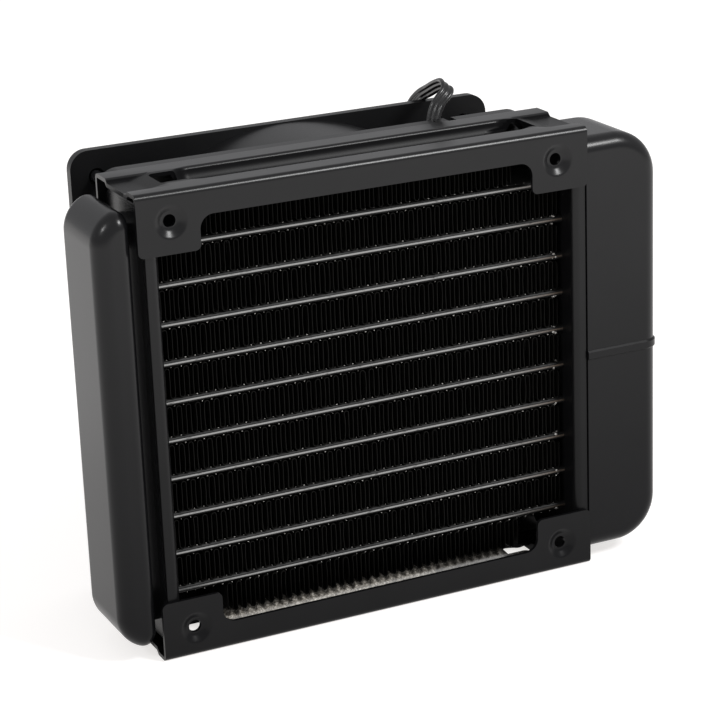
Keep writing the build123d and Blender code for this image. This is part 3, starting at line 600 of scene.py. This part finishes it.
def scatter(name, centres, radii, rings=4, around=7):
    """Copies of the small ball, each at its centre and with its three radii."""
    ball, quads = small_ball(rings, around)
    points = centres[:, None, :] + ball[None] * radii[:, None, :]
    faces = quads[None] + (np.arange(len(centres)) * len(ball))[:, None, None]
    piece = make_piece(name, points, faces.reshape(-1, 4))
    return dress(piece, "braze", "radiator", ())


def speck_places():
    """Centres and radii of the specks above and below each tube, along its front edge."""
    places, sizes = [], []
    for tube in TUBES:
        low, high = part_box(tube)
        for level, offset in ((low.z, -SPECK_OFFSET), (high.z, SPECK_OFFSET)):
            x = np.arange(CORE_X - 54.5 * MM, CORE_X + 54.6 * MM, FIN_PITCH)
            x = x + (FIN_PITCH / 2 if offset > 0 else 0.0) + rng.normal(0, 0.08 * MM, len(x))
            x = x[rng.random(len(x)) < SPECKS_KEPT]
            size = np.clip(rng.normal(0.12, 0.03, len(x)), 0.06, 0.2) * MM
            places.append(np.stack([x, low.y + 0.42 * MM + 0 * x, level + offset + 0 * x], 1))
            sizes.append(np.stack([size * 1.4, size * 1.3, size * 0.9], 1))
    return np.concatenate(places), np.concatenate(sizes)


def lump_places():
    """Centres and radii of the lumps at both ends of each tube, close to its front edge."""
    places, sizes = [], []
    for tube in TUBES:
        low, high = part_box(tube)
        for side in (-1, 1):
            x = CORE_X + side * (55.8 * MM - rng.random(LUMPS_PER_END) * 1.1 * MM)
            y = low.y + 0.25 * MM + rng.random(LUMPS_PER_END) * 1.0 * MM
            z = (low.z + high.z) / 2 + (rng.random(LUMPS_PER_END) - 0.5) * 2.4 * MM
            size = (0.22 + 0.32 * rng.random(LUMPS_PER_END)) * MM
            places.append(np.stack([x, y, z], 1))
            sizes.append(np.stack([size, size, size * 0.8], 1))
    return np.concatenate(places), np.concatenate(sizes)


specks = scatter("braze_specks", *speck_places())
lumps = scatter("braze_lumps", *lump_places(), rings=5, around=8)
print("specks", len(specks.data.polygons), "lumps", len(lumps.data.polygons))

# %% [markdown]
# ## Threaded ports
# Each coolant port is a brass collar with a parallel thread. A thread is a turned bore whose radius depends
# on height less a share of the angle, so it climbs by one pitch each turn. The collar's whole section is
# one closed ring of points, turned about the port's axis, so it makes a single closed surface.

# %% Port collars
PORT_RADIUS = 5.72 * MM
THREAD_PITCH = 1.337 * MM
THREAD_DEPTH = 0.62 * MM
TURN_POINTS = 96


def port_collar(node):
    """Section points round the collar's wall, turned about +Y; the bore's radius carries the thread."""
    low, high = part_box(node)
    centre_x, centre_z = (low.x + high.x) / 2, (low.z + high.z) / 2
    outer, neck = (high.x - low.x) / 2, (high.x - low.x) / 2 - 1.2 * MM
    shoulder, chamfer = high.y - 3.0 * MM, 0.6 * MM
    bore = np.linspace(high.y - 0.5 * MM, low.y + 0.4 * MM, 64)
    r = np.concatenate([[neck, neck, outer, outer, outer - chamfer, PORT_RADIUS + 0.7 * MM],
                        np.full(len(bore), PORT_RADIUS), [PORT_RADIUS + 0.3 * MM]])
    y = np.concatenate([[low.y, shoulder, shoulder, high.y - chamfer, high.y, high.y], bore, [low.y]])
    threaded = np.concatenate([np.zeros(6), np.ones(len(bore)), [0.0]])
    angle = np.linspace(0.0, 2 * math.pi, TURN_POINTS, endpoint=False)[:, None]
    climb = (y[None, :] / THREAD_PITCH - angle / (2 * math.pi)) % 1.0
    groove = 1 - np.abs(2 * climb - 1)
    fade = np.clip((high.y - y) / (1.4 * MM), 0, 1) * np.clip((y - low.y) / (1.4 * MM), 0, 1)
    radius = r[None, :] + threaded * fade[None, :] * groove * THREAD_DEPTH
    points = np.stack([centre_x + radius * np.cos(angle), y[None, :] + 0 * angle,
                       centre_z + radius * np.sin(angle)], 2)
    return points, grid_faces(TURN_POINTS, len(r), close_rows=True, close_columns=True)


for node in ("inlet_port_bush", "outlet_port_bush"):
    collar = make_piece(node + "_threaded", *port_collar(node))
    dress(collar, "brass", "radiator", [node])
print("collars made")

# %% [markdown]
# ## The lead
# The fan's lead is three thin wires side by side, so it bends easily one way and hardly at all the other.
# It leaves the widest strut, loops up over the fan's top edge, hangs down behind, and what is left over
# lies in a small coil behind the object. Its line is one smooth spline: the listed route, then two turns
# of the coil as more points, first on top, then sliding down to lie on the table and out to the connector.

# %% The lead's line
ROUTE = np.array([
    (0.0300, 0.0304, 0.11196), (0.0313, 0.0304, 0.11421), (0.0334, 0.0320, 0.1172),
    (0.0346, 0.0326, 0.1210), (0.0362, 0.0328, 0.1238), (0.0394, 0.0336, 0.1260),
    (0.0402, 0.0370, 0.1273), (0.0406, 0.0430, 0.1254), (0.0410, 0.0486, 0.1229),
    (0.0412, 0.0532, 0.1211), (0.0409, 0.0580, 0.1177), (0.0400, 0.0596, 0.1125),
    (0.0386, 0.0597, 0.1055), (0.0368, 0.0586, 0.0965),
    (0.0349, 0.0577, 0.0845), (0.0338, 0.0581, 0.0715), (0.0333, 0.0576, 0.0580),
    (0.0336, 0.0581, 0.0445), (0.0339, 0.0583, 0.0320), (0.0336, 0.0594, 0.0225),
    (0.0329, 0.0622, 0.0148), (0.0312, 0.0672, 0.0092), (0.0292, 0.0740, 0.0069),
    (0.0280, 0.0810, 0.0064),
])
CORE_PLACE = np.array([CORE_X, CORE_Y, 0.0])
COIL_MIDDLE = np.array([0.008, 0.082])
STEP_DEGREES = 24.0


def coil_turns():
    """Angle runs on from the route's end; the upper turn slides to the table, then the turns widen."""
    degrees = np.arange(18.0, 800.5, STEP_DEGREES)
    sink = np.clip((degrees - 290.0) / 55.0, 0.0, 1.0)
    sink = sink * sink * (3 - 2 * sink)
    upper_radius = 0.0200 + 0.0003 * np.sin(np.radians(degrees * 1.7))
    lower_radius = 0.0191 + 0.00145 * (degrees - 360.0) / 360.0
    radius = upper_radius * (1 - sink) + lower_radius * sink
    height = 0.0064 * (1 - sink) + 0.0028 * sink
    angle = np.radians(degrees)
    x = COIL_MIDDLE[0] + radius * np.cos(angle)
    y = COIL_MIDDLE[1] + radius * np.sin(angle)
    return np.stack([x, y, height], 1)


TAIL = np.array([(0.0070, 0.1036, 0.0029), (0.0010, 0.1046, 0.0029), (-0.0046, 0.1061, 0.0029)])
line_points = np.concatenate([ROUTE, coil_turns(), TAIL]) + CORE_PLACE


def smooth_line(points):
    """Points read from the NURBS spline that has these control points."""
    curve = bpy.data.curves.new("lead_line", "CURVE")
    curve.dimensions = "3D"
    curve.resolution_u = 10
    spline = curve.splines.new("NURBS")
    spline.points.add(len(points) - 1)
    spline.points.foreach_set("co", np.concatenate([points, np.ones((len(points), 1))], 1).ravel())
    spline.order_u = 3
    spline.use_endpoint_u = True
    holder = bpy.data.objects.new("lead_line", curve)
    scene.collection.objects.link(holder)
    mesh = bpy.data.meshes.new_from_object(holder)
    line = np.zeros(len(mesh.vertices) * 3)
    mesh.vertices.foreach_get("co", line)
    bpy.data.objects.remove(holder)
    bpy.data.meshes.remove(mesh)
    return line.reshape(-1, 3)


lead_line = smooth_line(line_points)

# %% [markdown]
# ## The ribbon's cross-section
# The section is three round wires joined by thin webs, carried along the line. At each point the ribbon
# needs a width direction. In the coil it stands on edge, so its width is upright; above, it is what the
# loop needs. We name a few directions, each at a run in metres from the start, blend between them, and
# square them to the line.

# %% The ribbon
WIRE_RADIUS = 0.6 * MM
WEB_HALF = 0.27 * MM
RIBBON_WIDTH = 3.6 * MM
WIDTH_MARKS = np.array([0.0, 0.006, 0.013, 0.018, 0.023, 0.034, 0.040, 0.048, 0.120, 0.150, 0.175, 0.60])
WIDTH_WAYS = np.array([
    (0.9, -0.2, -0.3), (0.9, -0.43, 0.0), (0.88, -0.45, -0.15), (0.7, -0.5, -0.5),
    (0.45, -0.5, -0.75), (0.42, -0.48, -0.77), (0.7, -0.3, -0.5), (1.0, 0.0, -0.1),
    (1.0, 0.0, 0.0), (0.7, 0.2, 0.7), (0.0, 0.0, 1.0), (0.0, 0.0, 1.0),
])


def ribbon_section(count=60):
    """Outline of three discs in a row: half height is the circle's of the nearest wire, but for the webs."""
    t = np.linspace(0.0, 2 * math.pi, count, endpoint=False)
    across = np.cos(t) * RIBBON_WIDTH / 2
    nearest = np.clip(np.round(across / (2 * WIRE_RADIUS)), -1, 1) * 2 * WIRE_RADIUS
    half = np.sqrt(np.clip(WIRE_RADIUS ** 2 - (across - nearest) ** 2, 0.0, None))
    half = np.where(np.abs(across) < RIBBON_WIDTH / 2 - WIRE_RADIUS, np.maximum(half, WEB_HALF), half)
    return across, np.sign(np.sin(t)) * half


def ribbon_mesh(line):
    """The section at every point of the line, turned to the blended width direction there."""
    ahead_step = np.gradient(line, axis=0)
    ahead_step /= np.linalg.norm(ahead_step, axis=1)[:, None]
    run = np.concatenate([[0.0], np.cumsum(np.linalg.norm(np.diff(line, axis=0), axis=1))])
    width = np.stack([np.interp(run, WIDTH_MARKS, WIDTH_WAYS[:, axis]) for axis in range(3)], 1)
    width -= (width * ahead_step).sum(1)[:, None] * ahead_step
    width /= np.linalg.norm(width, axis=1)[:, None]
    flat = np.cross(ahead_step, width)
    across, half = ribbon_section()
    points = line[:, None] + across[None, :, None] * width[:, None] + half[None, :, None] * flat[:, None]
    rows, columns = len(line), len(across)
    quads = grid_faces(rows, columns, close_columns=True)
    return points, quads, rows, columns


def make_ribbon(line):
    """The ribbon as one closed piece, its two cut ends filled."""
    points, quads, rows, columns = ribbon_mesh(line)
    faces = quads.tolist() + [list(range(columns)), list(range((rows - 1) * columns, rows * columns))[::-1]]
    mesh = bpy.data.meshes.new("fan_ribbon_lead")
    mesh.from_pydata(points.reshape(-1, 3).tolist(), [], faces)
    work = bmesh.new()
    work.from_mesh(mesh)
    bmesh.ops.recalc_face_normals(work, faces=work.faces)
    for face in work.faces:
        face.smooth = len(face.verts) == 4
    work.to_mesh(mesh)
    work.free()
    obj = bpy.data.objects.new("fan_ribbon_lead", mesh)
    scene.collection.objects.link(obj)
    return obj


ribbon = make_ribbon(lead_line)
dress(ribbon, "lead_sleeve", "radiator", ["fan_cable", "cable_coil", "cable_tail"])
print("ribbon faces", len(ribbon.data.polygons))

# %% [markdown]
# ## Floor and light
# The object stands in a plain pale studio, on paper that glows a little so that shadows stay faint. A black
# object is mostly what it mirrors: the front shows the paper before it, the top shows the pale air behind,
# and the two soft lights draw the bright line along every upper bend.

# %% Floor and lights
PAPER_GLOW = 0.70
PAPER_TINT = (1.0, 0.975, 0.955, 1.0)
AIR_COLOUR = (0.98, 0.98, 1.0, 1.0)
AIR_STRENGTH = 0.62
FLOOR_REACH = 3.0
FLOOR_POINTS = 9


def stage_floor():
    """A wide flat sheet of paper under the object, which glows a little, so that shadows stay faint."""
    side = np.linspace(-FLOOR_REACH, FLOOR_REACH, FLOOR_POINTS)
    x, y = np.meshgrid(side, side, indexing="ij")
    obj = make_piece("studio_floor", np.stack([x, y, 0 * x], 2), grid_faces(FLOOR_POINTS, FLOOR_POINTS))
    finish, tree, shader, coords = start_finish("studio_paper", Roughness=0.9, Emission_Strength=PAPER_GLOW)
    shader.inputs["Emission Color"].default_value = PAPER_TINT
    tone = ramp(tree, noise(tree, coords, 3.0, 2.0), [(0.3, 0.49), (0.7, 0.51)])
    tree.links.new(tone, shader.inputs["Base Color"])
    obj.data.materials.append(finish)
    return obj


def soft_light(name, place, target, width, height, power):
    """Rectangular light at a place, aimed at a point."""
    light = bpy.data.lights.new(name, "AREA")
    light.shape = "RECTANGLE"
    light.size, light.size_y, light.energy = width, height, power
    obj = bpy.data.objects.new(name, light)
    obj.location = place
    obj.rotation_euler = (Vector(target) - Vector(place)).to_track_quat("-Z", "Y").to_euler()
    scene.collection.objects.link(obj)
    return obj


stage_floor()
soft_light("front_high", (0.52, -0.72, 0.92), (0.05, 0, 0.06), 0.3, 0.3, 11.0)
soft_light("left_high", (-0.80, -0.28, 0.72), (-0.05, 0, 0.06), 0.16, 0.16, 2.0)
world = bpy.data.worlds.new("studio_air")
world.use_nodes = True
air = world.node_tree.nodes["Background"]
air.inputs["Color"].default_value = AIR_COLOUR
air.inputs["Strength"].default_value = AIR_STRENGTH
scene.world = world
scene.view_settings.view_transform = "Standard"
scene.view_settings.look = "None"
